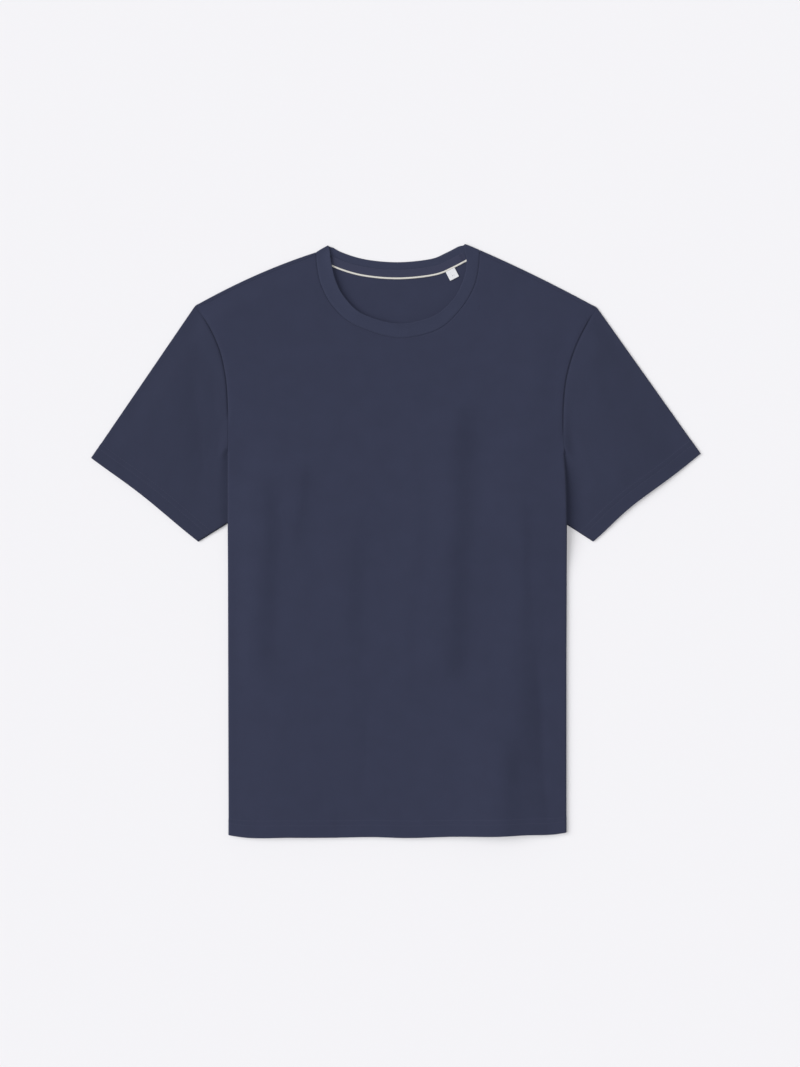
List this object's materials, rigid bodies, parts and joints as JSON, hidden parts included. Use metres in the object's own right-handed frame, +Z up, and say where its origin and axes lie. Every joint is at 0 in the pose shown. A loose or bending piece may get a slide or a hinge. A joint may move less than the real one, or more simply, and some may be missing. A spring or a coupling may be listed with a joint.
{
  "type": "crew neck t-shirt",
  "caption": "Short-sleeved crew neck t-shirt in plain dark jersey, laid flat on its back with its sides folded under.",
  "frame": {"origin": "under the middle of the shirt's outline, on the surface that it lies on", "axes": "+X across the shirt towards the wearer's left sleeve, +Y from the hem to the neck, +Z up off the surface, out of the shirt's front"},
  "size_m": [0.746, 0.7273, 0.0075],
  "materials": {
    "jersey": "matt cotton jersey, dark slate navy",
    "rib": "matt cotton rib, dark slate navy",
    "tape": "herringbone cotton tape, dark slate navy",
    "edging": "woven cotton, cream",
    "label": "satin ribbon, white"
  },
  "bodies": {
    "root": {"front_panel": "jersey", "back_panel": "jersey", "sleeve_left": "jersey", "sleeve_right": "jersey", "neckband": "rib", "neck_tape": "tape", "neck_edging": "edging", "size_label": "label"}
  },
  "joints": []
}
